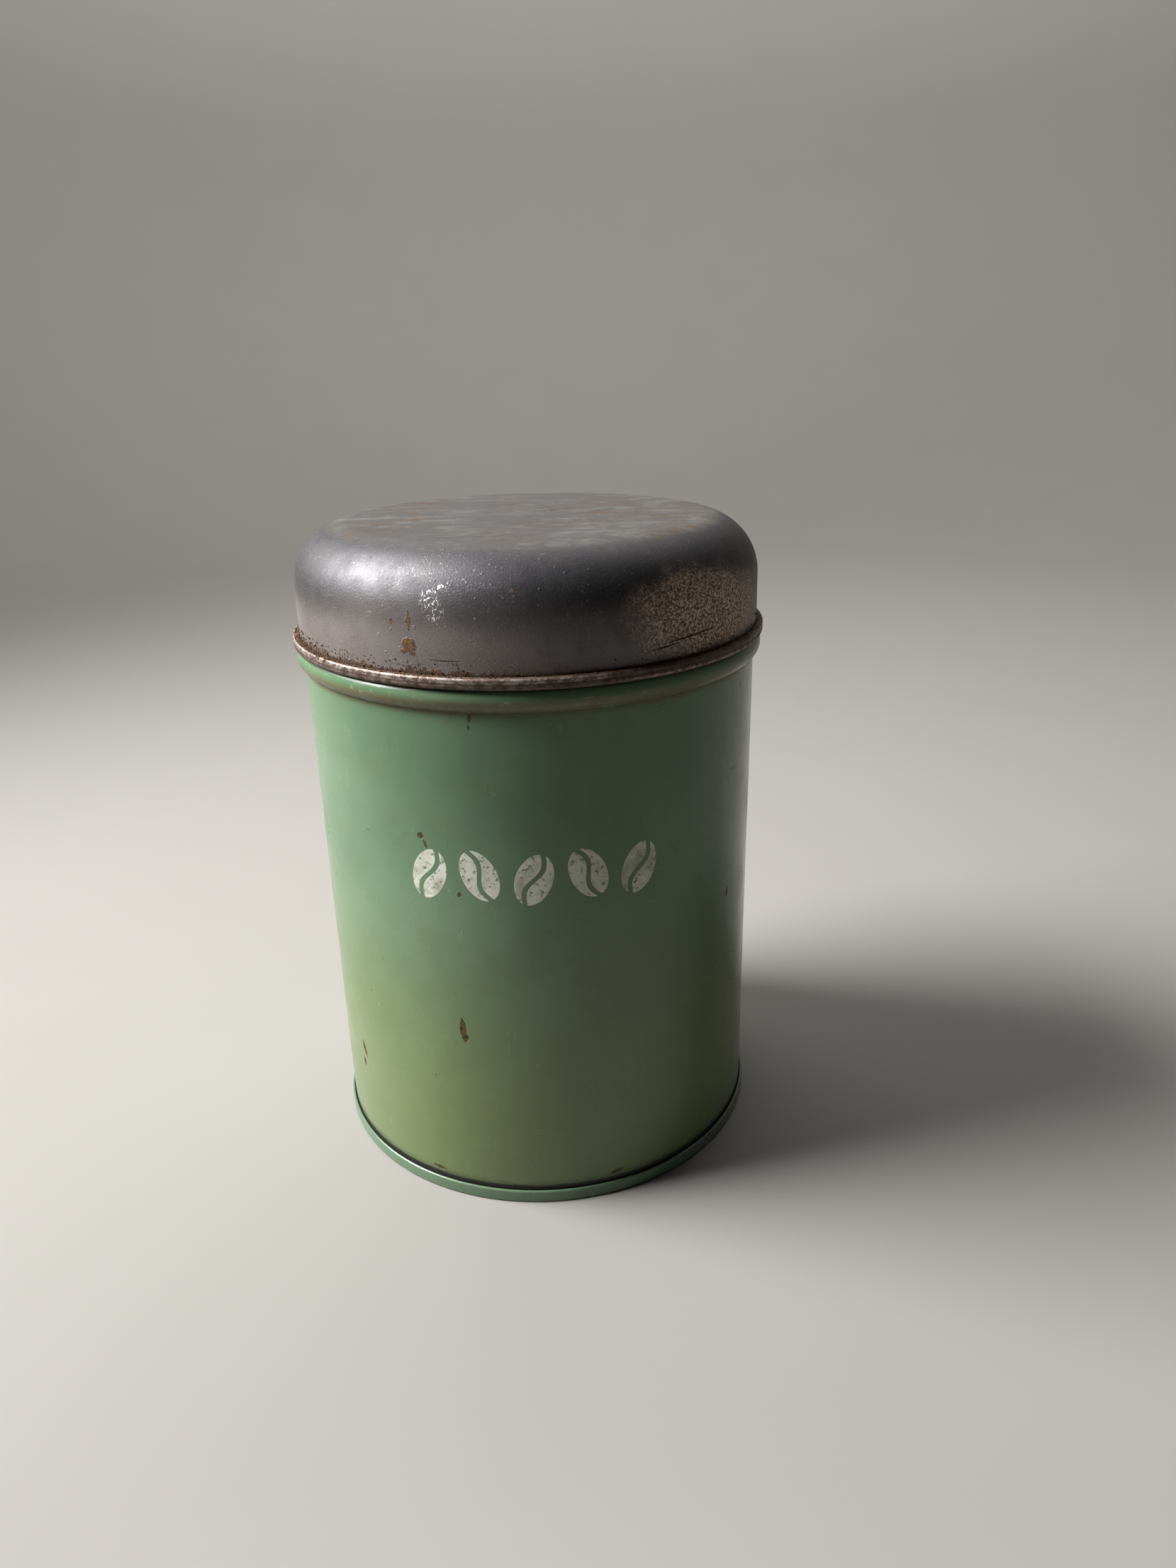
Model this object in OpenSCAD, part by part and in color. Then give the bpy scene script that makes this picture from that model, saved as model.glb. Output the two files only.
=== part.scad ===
// Round kitchen canister for ground coffee: a lacquered tinplate tin with a deep slip-on lid.
// Millimetres, +Z up. The origin is the middle of the base, on the surface that the tin stands on.
// The front of the tin faces -Y, and the side seam runs up the back, on +Y.

/* [Sheet] */
// Thickness of the tinplate
sheet_t = 0.27; // [0.2:0.01:0.32]
// Gap between the layers of a folded seam
fold_gap = 0.02; // [0.01:0.01:0.04]

/* [Tin body] */
// Outer radius of the straight wall
wall_r = 58; // [45:0.5:80]
// Height of the lower edge of the bead
bead_z = 132; // [80:1:220]
// Height of the bead, from crease to crease
bead_h = 5.9; // [4.6:0.1:7.2]
// How far the bead stands out from the wall
bead_proud = 1.75; // [1.4:0.05:2.1]
// Height of the neck above the bead, which the lid slides over
neck_h = 13.1; // [9:0.1:16]
// Outer radius of the inward curl round the mouth
mouth_curl_r = 0.9; // [0.7:0.05:1.3]

/* [Side seam] */
// Width of the lock seam, across the folded layers
lock_w = 4.6; // [3:0.1:7]
// Folded layers that stand on the inside of the wall
lock_layers = 3; // [1:1:3]
// Width of the soldered groove on the outside
groove_w = 0.9; // [0.5:0.1:1.5]
// Depth of the soldered groove
groove_d = 0.16; // [0.08:0.01:0.18]
// How far the solder lies below the face of the wall
solder_sink = 0.03; // [0:0.01:0.06]
// Clearance between the solder and its groove
solder_gap = 0.01; // [0.005:0.005:0.02]

/* [Base] */
// Height of the double seam that joins the base to the wall
base_seam_h = 3.48; // [3:0.02:4.5]
// Outer corner radius at the foot of the double seam
foot_corner_r = 0.5; // [0.4:0.05:0.65]
// Height of the underside of the base, inside the seam
base_z = 3.4; // [2.4:0.1:6]
// Radius of the corner between the base and its upright wall
base_corner_r = 0.8; // [0.4:0.1:1.2]
// Radius of the raised middle of the base
base_step_r = 47; // [30:0.5:52]
// How far the middle of the base is raised
base_step_h = 0.9; // [0.4:0.1:1.5]
// Radial run of the slope up to the raised middle
base_step_run = 1.2; // [0.8:0.1:2.5]
// Height of the top of the body's hook inside the double seam
body_hook_z = 2.5; // [2:0.05:2.6]
// Height of the lower end of the base's hook inside the double seam
base_hook_z = 0.95; // [0.9:0.05:1.4]

/* [Lid] */
// Overall height of the lid, from the rim to the top
lid_h = 28.95; // [24:0.25:40]
// Radius of the shoulder between the skirt and the flat top
shoulder_r = 14.5; // [6:0.25:15]
// Radial clearance between the neck and the skirt
lid_gap = 0.33; // [0.2:0.01:0.5]
// Gap between the rim and the bead that it is seated on
seat_gap = 0.15; // [0.1:0.01:0.3]

/* [Lid rim] */
// Diameter of the wire in the rolled rim
wire_d = 1.3; // [1:0.05:1.6]
// Radial running clearance between the wire and the roll
wire_gap = 0.045; // [0.02:0.005:0.08]
// Height of the rolled rim
rim_h = 2.75; // [2.5:0.05:3.5]
// Inner radius of the roll's upper outer corner
rim_corner_r = 0.3; // [0.1:0.05:0.4]
// How far the roll is pinched in above the wire
pinch_d = 0.09; // [0:0.01:0.12]
// Height of the pinch above the wire's centre
pinch_h = 0.5; // [0.4:0.05:0.6]
// Gap between the roll's raw edge and the skirt
raw_edge_gap = 0.15; // [0.05:0.05:0.4]

/* [Hidden] */
$fn = 180;

// One folded layer with the gap beside it
layer = sheet_t + fold_gap;
// Space inside a fold that holds one layer with a gap on each side
fold_space = layer + fold_gap;
// Radius of the outer face of the double seam
seam_out_r = wall_r + 3 * layer;
// Radius of the inner face of the base's upright wall
chuck_r = wall_r - sheet_t - layer;
// Height of the middle of the body's bottom fold
body_fold_z = layer + sheet_t + fold_space / 2;
// Outer radius of a fold round one layer
fold_out_r = fold_space / 2 + sheet_t;
// Radius of the middle of the body's hook
hook_mid_r = wall_r + fold_space + sheet_t / 2;

// Radius of the bead's arc, and the arc's centre
bead_r = ((bead_h / 2) ^ 2 + bead_proud ^ 2) / (2 * bead_proud);
bead_centre = [wall_r + bead_proud - bead_r, bead_z + bead_h / 2];
bead_half_angle = asin(bead_h / 2 / bead_r);
mouth_z = bead_z + bead_h + neck_h;

// Radius of the outer face of the skirt, and of the wire's centre line
skirt_r = wall_r + lid_gap + sheet_t;
wire_ring_r = skirt_r + wire_gap + wire_d / 2;
// Inner and outer radius of the roll's bottom half-round
roll_in_r = wire_d / 2 + wire_gap;
roll_out_r = roll_in_r + sheet_t;
// The roll rests on the bead: the wire's centre lies this far from the centre of the bead's arc
seat_reach = bead_r + seat_gap + roll_out_r;
wire_z = bead_centre[1] + sqrt(seat_reach ^ 2 - (wire_ring_r - bead_centre[0]) ^ 2);
rim_z = wire_z - roll_out_r;
lid_top = rim_z + lid_h;

// The lock seam starts above the base, and ends below the mouth's curl
lock_z0 = base_z + base_step_h + 2 * sheet_t + 1;
lock_z1 = mouth_z - 2 * mouth_curl_r - 0.5;
lock_bite = sheet_t / 4;
groove_z0 = base_seam_h + 0.4;
groove_z1 = bead_z - 0.4;

// Points of an arc about c, from angle a to angle b, anticlockwise when b is the larger
function arc(c, r, a, b, n = 8) =
    [for (i = [0:n]) c + r * [cos(a + (b - a) * i / n), sin(a + (b - a) * i / n)]];

function unit(v) = v / norm(v);
function left_of(d) = [-d[1], d[0]];

// The direction of a path's stretch number i
function stretch(path, i) = unit(path[i + 1] - path[i]);

// The path moved by t to the left of its direction of travel, with mitred corners
function beside(path, t) = [
    for (i = [0:len(path) - 1])
        let (
            before = stretch(path, max(i - 1, 0)),
            after = stretch(path, min(i, len(path) - 2)),
            mitre = left_of(unit(before + after))
        )
        path[i] + mitre * t / (mitre * left_of(before))
];

function reversed(path) = [for (i = [len(path) - 1:-1:0]) path[i]];

// Section of a layer that lies between two distances to the left of a path
module layer_section(path, near, far) {
    polygon(concat(beside(path, near), reversed(beside(path, far))));
}

// Section of the bead, from the lower crease to the upper one
bead_path = arc(bead_centre, bead_r, -bead_half_angle, bead_half_angle, 20);

// Outer face of the wall: down the hook, round the bottom fold, up the wall and into the mouth's curl
body_path = concat(
    [[wall_r + fold_space, body_hook_z]],
    arc([wall_r + fold_space / 2, body_fold_z], fold_space / 2, 0, -180),
    bead_path,
    arc([wall_r - mouth_curl_r, mouth_z - mouth_curl_r], mouth_curl_r, 0, 270, 18)
);

// Under face of the base: out along the panel, down inside the wall, and round the double seam
base_path = concat(
    [[0, base_z + base_step_h]],
    [[base_step_r - base_step_run, base_z + base_step_h]],
    [[base_step_r, base_z]],
    arc([chuck_r - base_corner_r, base_z - base_corner_r], base_corner_r, 90, 0),
    arc([chuck_r + foot_corner_r, foot_corner_r], foot_corner_r, 180, 270),
    arc([seam_out_r - foot_corner_r, foot_corner_r], foot_corner_r, 270, 360),
    arc([seam_out_r - fold_out_r, base_seam_h - fold_out_r], fold_out_r, 0, 180, 12),
    [[seam_out_r - 2 * fold_out_r, base_hook_z]]
);

// Lid, from the raw edge: out over the roll, down and round the wire, up the skirt and over the top
lid_path = concat(
    [[skirt_r + raw_edge_gap, rim_z + rim_h - sheet_t]],
    arc([skirt_r + 2 * roll_in_r - rim_corner_r, rim_z + rim_h - sheet_t - rim_corner_r], rim_corner_r, 90, 0),
    [[skirt_r + 2 * roll_in_r - pinch_d, wire_z + pinch_h]],
    arc([wire_ring_r, wire_z], roll_in_r, 0, -180, 18),
    arc([skirt_r - shoulder_r, lid_top - shoulder_r], shoulder_r, 0, 90, 28),
    [[0, lid_top]]
);

// A strip of the back wall, width w across, turned from the section that is given to it
module back_strip(w) {
    span = 2 * asin(w / 2 / wall_r);
    rotate([0, 0, 90 - span / 2])
        rotate_extrude(angle = span)
            children();
}

// Folded layers of the lock seam, on the inside of the wall
module lock_seam() {
    path = concat([[wall_r, lock_z0]], bead_path, [[wall_r, lock_z1]]);
    back_strip(lock_w)
        layer_section(path, sheet_t - lock_bite, (1 + lock_layers) * sheet_t);
}

module body_shell() {
    color("#5f8d66")
        difference() {
            union() {
                rotate_extrude()
                    layer_section(body_path, 0, sheet_t);
                lock_seam();
            }
            back_strip(groove_w)
                translate([wall_r - groove_d, groove_z0])
                    square([2 * groove_d, groove_z1 - groove_z0]);
        }
}

module side_seam_solder() {
    color("#a9aba6")
        back_strip(groove_w - 2 * solder_gap)
            translate([wall_r - groove_d + solder_gap, groove_z0 + solder_gap])
                square([groove_d - solder_gap - solder_sink, groove_z1 - groove_z0 - 2 * solder_gap]);
}

module base_end() {
    color("#557f5c")
        rotate_extrude()
            layer_section(base_path, 0, sheet_t);
}

// Lining compound in the fold of the base, on the end of the body's hook, squeezed to a rough half-round on top
module base_seam_compound() {
    bottom = body_hook_z + fold_gap;
    middle = base_seam_h - fold_out_r;
    color("#3b3a37")
        rotate_extrude()
            translate([hook_mid_r, 0])
                polygon(concat(
                    [[-sheet_t / 2, bottom], [sheet_t / 2, bottom]],
                    arc([0, middle], sheet_t / 2, 0, 180, 4)
                ));
}

module lid_shell() {
    color("#6a635d")
        rotate_extrude()
            layer_section(lid_path, 0, sheet_t);
}

module lid_rim_wire() {
    color("#7d6a5c")
        rotate_extrude()
            translate([wire_ring_r, wire_z])
                circle(d = wire_d, $fn = 32);
}

body_shell();
side_seam_solder();
base_end();
base_seam_compound();
lid_shell();
lid_rim_wire();
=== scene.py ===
"""A worn kitchen canister for coffee: a green lacquered tin with a bare, oxidised slip lid.

The sheet-metal shells are turned from the meridian sections of the CAD nodes, with the small dents and
the uneven edges of a used tin. Lengths inside the shaders are in millimetres.
"""

import math
import random

import bmesh
import bpy
from mathutils import Euler, Matrix, Vector, noise


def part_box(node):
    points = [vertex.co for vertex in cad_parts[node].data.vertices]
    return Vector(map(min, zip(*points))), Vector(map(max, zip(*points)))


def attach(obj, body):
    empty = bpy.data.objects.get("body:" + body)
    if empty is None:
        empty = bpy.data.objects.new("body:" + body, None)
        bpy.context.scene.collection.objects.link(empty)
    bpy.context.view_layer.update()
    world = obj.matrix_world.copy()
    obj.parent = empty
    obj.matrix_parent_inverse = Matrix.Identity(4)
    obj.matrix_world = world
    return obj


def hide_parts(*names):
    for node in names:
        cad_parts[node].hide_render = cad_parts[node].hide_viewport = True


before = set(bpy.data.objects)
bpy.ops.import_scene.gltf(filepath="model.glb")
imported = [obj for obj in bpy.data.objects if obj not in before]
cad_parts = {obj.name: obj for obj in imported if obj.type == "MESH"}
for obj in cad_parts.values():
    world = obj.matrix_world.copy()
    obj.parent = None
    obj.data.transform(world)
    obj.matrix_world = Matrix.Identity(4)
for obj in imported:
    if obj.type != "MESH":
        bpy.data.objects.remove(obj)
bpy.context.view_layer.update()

MM = 0.001
FRONT = -math.pi / 2  # the front faces -Y
BACK = math.pi / 2
SHEET = 0.27 * MM  # thickness of the tinplate
ROLL_HEIGHT = 2.75 * MM  # of the rolled rim, from its lowest point to its raw edge
LOCK_WIDTH = 4.6 * MM  # of the folded layers of the side seam
LOCK_LAYERS = 3
GROOVE_DEPTH = 0.16 * MM  # of the groove that holds the side seam's solder


# ---------------------------------------------------------------- sections of the CAD nodes


def meridian(node):
    """Outline of a turned CAD node in its half-plane y = 0, x > 0, as ordered (radius, height) points.

    An outline that meets the axis starts and ends there. Any other is a closed loop.
    """
    mesh = bmesh.new()
    mesh.from_mesh(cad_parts[node].data)
    bmesh.ops.remove_doubles(mesh, verts=mesh.verts, dist=1e-7)
    everything = [*mesh.verts, *mesh.edges, *mesh.faces]
    cut = bmesh.ops.bisect_plane(mesh, geom=everything, dist=1e-8, plane_co=(0, 0, 0), plane_no=(0, 1, 0))
    links = {}
    for edge in cut["geom_cut"]:
        if not isinstance(edge, bmesh.types.BMEdge):
            continue
        near, far = sorted((v.co.copy() for v in edge.verts), key=lambda p: p.x)
        if far.x < 1e-8:
            continue
        if near.x < 0:
            near = near.lerp(far, -near.x / (far.x - near.x))
        a, b = [(round(p.x, 8), round(p.z, 8)) for p in (near, far)]
        links.setdefault(a, []).append(b)
        links.setdefault(b, []).append(a)
    mesh.free()
    ends = [p for p, near in links.items() if len(near) == 1]
    here = max(ends, key=lambda p: p[1]) if ends else min(links)
    chain, last = [here], None
    while True:
        ahead = [p for p in links[here] if p != last]
        if not ahead or (len(chain) > 2 and chain[0] in ahead):
            return chain, not ends
        last, here = here, ahead[0]
        chain.append(here)


def turning(a, b, c):
    """Angle in degrees through which a path turns at b."""
    u, v = Vector((b[0] - a[0], b[1] - a[1])), Vector((c[0] - b[0], c[1] - b[1]))
    return math.degrees(u.angle(v, 0))


def refined(chain, closed, spacing, corner=24):
    """The outline with its round stretches as smooth curves and its long ones divided.

    Returns the points and the set of places where the sheet has a sharp edge.
    """
    n = len(chain)
    count = n if closed else n - 1
    sharp = {i for i in range(n) if closed or 0 < i < n - 1}
    sharp = {i for i in sharp if turning(chain[i - 1], chain[i], chain[(i + 1) % n]) > corner}

    def at(i, pivot):
        """Neighbour i of an outline point, repeated at ends and past corners."""
        return chain[i % n] if closed or 0 <= i < n else chain[pivot]

    points, edges = [], set()
    for i in range(count):
        p1, p2 = Vector(chain[i]), Vector(chain[(i + 1) % n])
        p0 = p1 - (p2 - p1) if i in sharp else Vector(at(i - 1, i))
        p3 = p2 + (p2 - p1) if (i + 1) % n in sharp else Vector(at(i + 2, (i + 1) % n))
        length = (p2 - p1).length
        steps = max(1, math.ceil(length / spacing))
        bend = turning(p0, p1, p2) + turning(p1, p2, p3) if p0 != p1 and p3 != p2 else 0
        curved = 1 < bend and length < 4 * min((p1 - p0).length, (p3 - p2).length) + 1e-9
        if i in sharp:
            edges.add(len(points))
        for k in range(steps):
            t = k / steps
            if curved:
                m1, m2 = (p2 - p0) / 2, (p3 - p1) / 2
                h = (2 * t**3 - 3 * t**2 + 1, t**3 - 2 * t**2 + t, 3 * t**2 - 2 * t**3, t**3 - t**2)
                points.append(h[0] * p1 + h[1] * m1 + h[2] * p2 + h[3] * m2)
            else:
                points.append(p1.lerp(p2, t))
    if not closed:
        points.append(Vector(chain[-1]))
    return points, edges


# ---------------------------------------------------------------- turned shells


def turned(name, node, body, spacing, columns, shape, inside, materials):
    """A turned shell in place of a CAD node.

    columns are the angles of its meridians, shape(radius, height, angle) gives each point's new radius and
    height, and inside(radius, height, normal) says which faces take the second material.
    """
    chain, closed = meridian(node)
    points, edges = refined(chain, closed, spacing)
    rows = len(points)
    mesh = bmesh.new()
    layer = mesh.loops.layers.uv.new("turned")
    grid = []
    for radius, height in points:
        if radius < 1e-7:
            grid.append([mesh.verts.new((0, 0, shape(radius, height, 0)[1]))] * len(columns))
            continue
        ring = []
        for angle in columns:
            r, z = shape(radius, height, angle)
            ring.append(mesh.verts.new((r * math.cos(angle), r * math.sin(angle), z)))
        grid.append(ring)
    for i in range(rows if closed else rows - 1):
        for j in range(len(columns)):
            k, below = (j + 1) % len(columns), (i + 1) % rows
            corners = [(i, j), (i, j + 1), (i + 1, j + 1), (i + 1, j)]
            loop = [grid[i][j], grid[i][k], grid[below][k], grid[below][j]]
            keep = [m for m in range(4) if loop[m] not in loop[:m]]
            face = mesh.faces.new([loop[m] for m in keep])
            face.smooth = True
            for corner, m in zip(face.loops, keep):
                row, column = corners[m]
                corner[layer].uv = (column / len(columns), row / rows)
    mesh.normal_update()
    if mesh.calc_volume(signed=True) < 0:
        bmesh.ops.reverse_faces(mesh, faces=mesh.faces)
        mesh.normal_update()
    for i in edges:
        ring = grid[i]
        for j, vert in enumerate(ring):
            edge = mesh.edges.get((vert, ring[(j + 1) % len(columns)])) if vert != ring[j - 1] else None
            if edge:
                edge.smooth = False
    for face in mesh.faces:
        centre = face.calc_center_median()
        out = Vector((centre.x, centre.y)).normalized()
        normal = (out.x * face.normal.x + out.y * face.normal.y, face.normal.z)
        if inside(math.hypot(centre.x, centre.y), centre.z, normal):
            face.material_index = 1
    data = bpy.data.meshes.new(name)
    mesh.to_mesh(data)
    mesh.free()
    piece = bpy.data.objects.new(name, data)
    bpy.context.scene.collection.objects.link(piece)
    for material in materials:
        data.materials.append(material)
    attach(piece, body)
    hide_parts(node)
    return piece


def even_columns(count):
    return [2 * math.pi * j / count for j in range(count)]


def merged(count, extra, nearest):
    """Even meridians and the extra ones, without the even ones that are too near an extra one."""
    least = nearest * 2 * math.pi / count
    return sorted(extra + [a for a in even_columns(count) if min(abs(a - b) for b in extra) > least])


def ripple(x, y, z, scale, seed):
    """Smooth noise from -1 to 1 with features of the given size in metres."""
    return noise.noise(Vector((x, y, z)) / scale + Vector((seed, 2.7 * seed, 5.1 * seed)))


def fade(value, low, high):
    """0 below low, 1 above high, smooth between."""
    t = min(1, max(0, (value - low) / (high - low)))
    return t * t * (3 - 2 * t)


def between(value, low, high, soft):
    """1 from low to high, fading over soft outside them."""
    return fade(value, low - soft, low) * (1 - fade(value, high, high + soft))


# ---------------------------------------------------------------- sizes taken from the frame

wall_outline, _ = meridian("body_shell")
wire_low, wire_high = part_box("lid_rim_wire")
lid_low, lid_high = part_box("lid_shell")
_, body_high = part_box("body_shell")
_, base_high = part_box("base_end")
solder_low, solder_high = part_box("side_seam_solder")

# The wall is the long upright stretch on the outside, and the bead starts where it ends
uprights = [
    (abs(b[1] - a[1]), max(a[0], b[0]), min(a[1], b[1]), max(a[1], b[1]))
    for a, b in zip(wall_outline, wall_outline[1:] + wall_outline[:1])
    if abs(a[0] - b[0]) < 1e-6
]
LONG = 50 * MM
WALL_R = max(r for length, r, low, high in uprights if length > LONG)
BEAD_Z = max(high for length, r, low, high in uprights if length > LONG)
MOUTH_Z = body_high.z
SEAM_R = base_high.x
SEAM_Z = solder_low.z - 0.4 * MM  # the solder starts this far above the base's double seam
RIM_Z = lid_low.z
LID_TOP = lid_high.z
WIRE_R = wire_high.x - (wire_high.z - wire_low.z) / 2
WIRE_Z = (wire_low.z + wire_high.z) / 2
SKIRT_R = WIRE_R - (WIRE_Z - RIM_Z) + SHEET  # the roll's inside touches the skirt's outer face
ROLL_TOP = RIM_Z + ROLL_HEIGHT


# ---------------------------------------------------------------- shader formulas


class Graph:
    """One material's nodes, written as formulas. Every value is a socket or a number."""

    def __init__(self, name):
        self.material = bpy.data.materials.new(name)
        self.material.use_nodes = True
        self.tree = self.material.node_tree
        self.tree.nodes.clear()
        self.out = self.tree.nodes.new("ShaderNodeOutputMaterial")
        self.shader = self.tree.nodes.new("ShaderNodeBsdfPrincipled")
        self.tree.links.new(self.shader.outputs[0], self.out.inputs[0])
        coordinates = self.tree.nodes.new("ShaderNodeTexCoord")
        self.place = self.vector("SCALE", coordinates.outputs["Object"], scale=1 / MM)
        split = self.tree.nodes.new("ShaderNodeSeparateXYZ")
        self.tree.links.new(self.place, split.inputs[0])
        self.x, self.y, self.height = split.outputs
        self.radius = self.math("SQRT", self.add(self.times(self.x, self.x), self.times(self.y, self.y)))
        self.angle = self.math("ARCTAN2", self.x, self.times(self.y, -1))
        self.around = self.times(self.angle, WALL_R / MM)
        self.made = {}

    def put(self, socket, value):
        if isinstance(value, bpy.types.NodeSocket):
            self.tree.links.new(value, socket)
        elif value is not None:
            socket.default_value = value

    def set(self, **values):
        """Sets the shader's own sockets, such as base_color or roughness."""
        for key, value in values.items():
            self.put(self.shader.inputs[key.replace("_", " ").title().replace("Ior", "IOR")], value)

    def math(self, kind, a, b=None, c=None, clamp=False):
        n = self.tree.nodes.new("ShaderNodeMath")
        n.operation = kind
        n.use_clamp = clamp
        for socket, value in zip(n.inputs, (a, b, c)):
            self.put(socket, value)
        return n.outputs[0]

    def add(self, a, b):
        return self.math("ADD", a, b)

    def minus(self, a, b):
        return self.math("SUBTRACT", a, b)

    def times(self, a, *others):
        for b in others:
            a = self.math("MULTIPLY", a, b)
        return a

    def most(self, a, *others):
        for b in others:
            a = self.math("MAXIMUM", a, b)
        return a

    def flip(self, a):
        return self.math("SUBTRACT", 1.0, a, clamp=True)

    def vector(self, kind, a, b=None, scale=None):
        n = self.tree.nodes.new("ShaderNodeVectorMath")
        n.operation = kind
        self.put(n.inputs[0], a)
        self.put(n.inputs[1], b)
        if scale is not None:
            self.put(n.inputs["Scale"], scale)
        return n.outputs["Value"] if kind in ("LENGTH", "DISTANCE", "DOT_PRODUCT") else n.outputs[0]

    def ramp(self, value, low, high, start=0.0, end=1.0):
        """Smooth step of value from low to high, between start and end."""
        n = self.tree.nodes.new("ShaderNodeMapRange")
        n.interpolation_type = "SMOOTHSTEP"
        for socket, v in zip(n.inputs, (value, low, high, start, end)):
            self.put(socket, v)
        return n.outputs[0]

    def band(self, value, middle, half, soft):
        """1 within half of middle, fading over soft."""
        return self.ramp(self.math("ABSOLUTE", self.minus(value, middle)), half + soft, half)

    def noise(self, size, detail=3.0, rough=0.55, stretch=None, seed=0.0):
        """Noise from 0 to 1 with features of the given size in mm, longer along the axes of stretch.

        Asking again for the same noise gives the same node.
        """
        key = (size, detail, rough, stretch, seed)
        if key in self.made:
            return self.made[key]
        n = self.tree.nodes.new("ShaderNodeTexNoise")
        where = self.place
        if stretch:
            where = self.vector("DIVIDE", where, stretch)
        if seed:
            where = self.vector("ADD", where, (seed, -1.7 * seed, 0.6 * seed))
        self.put(n.inputs["Vector"], where)
        n.inputs["Scale"].default_value = 1 / size
        n.inputs["Detail"].default_value = detail
        n.inputs["Roughness"].default_value = rough
        self.made[key] = n.outputs["Fac"]
        return n.outputs["Fac"]

    def specks(self, cell, size, share, seed=0.0, stretch=None):
        """Round specks: one at most in each cell, up to size mm in radius, in that share of the cells."""
        n = self.tree.nodes.new("ShaderNodeTexVoronoi")
        where = self.vector("DIVIDE", self.place, stretch) if stretch else self.place
        self.put(n.inputs["Vector"], self.vector("ADD", where, (seed, seed, -seed)))
        n.inputs["Scale"].default_value = 1 / cell
        split = self.tree.nodes.new("ShaderNodeSeparateColor")
        self.tree.links.new(n.outputs["Color"], split.inputs[0])
        reach = self.ramp(split.outputs[0], 1 - share, 1.0, 0.0, size / cell)
        return self.ramp(self.minus(reach, n.outputs["Distance"]), 0.0, 0.25 * size / cell)

    def threads(self, size, width, stretch, seed=0.0, share=0.5):
        """Fine broken lines: the level lines of a stretched noise, kept where another noise is high."""
        line = self.math("ABSOLUTE", self.minus(self.noise(size, 1.0, 0.4, stretch, seed), 0.5))
        kept = self.ramp(self.noise(2 * size, 2.0, 0.5, None, seed + 31), 1 - share, 1.08 - share)
        return self.times(self.ramp(line, width, width * 0.3), kept)

    def local(self, angle, height, tilt=0.0):
        """Distances in mm along and across a mark that is centred at an angle in degrees and a height."""
        u = self.minus(self.around, math.radians(angle) * WALL_R / MM)
        v = self.minus(self.height, height)
        if not tilt:
            return u, v
        c, s = math.cos(math.radians(tilt)), math.sin(math.radians(tilt))
        return self.add(self.times(u, c), self.times(v, s)), self.minus(self.times(v, c), self.times(u, s))

    def mark(self, angle, height, wide, tall, tilt=0.0, leaf=False, ragged=0.5, grain=0.9, soft=0.3):
        """A ragged patch on the wall, wide and tall in mm, pointed at its ends if leaf."""
        u, v = self.local(angle, height, tilt)
        u = self.times(u, 2 / wide)
        v = self.times(v, 2 / tall)
        across = self.math("ABSOLUTE", u) if leaf else self.times(u, u)
        reach = self.add(across, self.times(v, v))
        wobble = self.times(self.minus(self.noise(grain, 3.0, 0.65, None, 2.0), 0.5), 2 * ragged)
        return self.ramp(self.add(reach, wobble), 1.0, 1.0 - soft)

    def mix(self, a, b, share):
        n = self.tree.nodes.new("ShaderNodeMix")
        n.data_type = "RGBA"
        self.put(n.inputs[0], share)
        for socket, value in ((n.inputs[6], a), (n.inputs[7], b)):
            self.put(socket, (*value, 1.0) if isinstance(value, tuple) else value)
        return n.outputs[2]

    def blend(self, a, b, share):
        """Number a where share is 0, and b where it is 1."""
        n = self.tree.nodes.new("ShaderNodeMix")
        self.put(n.inputs[0], share)
        self.put(n.inputs[2], a)
        self.put(n.inputs[3], b)
        return n.outputs[0]

    def bump(self, height, depth, under=None):
        """Surface normal of a height that is 0 to 1, depth mm deep."""
        n = self.tree.nodes.new("ShaderNodeBump")
        n.inputs["Strength"].default_value = 1.0
        n.inputs["Distance"].default_value = depth * MM
        self.put(n.inputs["Height"], height)
        if under is not None:
            self.put(n.inputs["Normal"], under)
        return n.outputs[0]


def srgb(*display):
    """Linear colour of an 8-bit display colour."""
    return tuple(((c / 255 + 0.055) / 1.055) ** 2.4 if c > 10 else c / 255 / 12.92 for c in display)


# ---------------------------------------------------------------- lacquer

GREEN = srgb(87, 114, 85)
GREEN_DEEP = srgb(70, 99, 71)
GREEN_PALE = srgb(102, 126, 98)
GREEN_DULL = srgb(92, 106, 70)
CHIP_RUST = srgb(88, 73, 36)
CHIP_DARK = srgb(38, 34, 24)
DIRT_BROWN = srgb(86, 74, 38)
# black of the dirt in the base seam's groove, also used for the painted shade under the rim
BLACK_DIRT_AND_SHADE = srgb(20, 20, 16)
STENCIL = srgb(206, 207, 196)
STENCIL_DULL = srgb(158, 160, 138)

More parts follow.
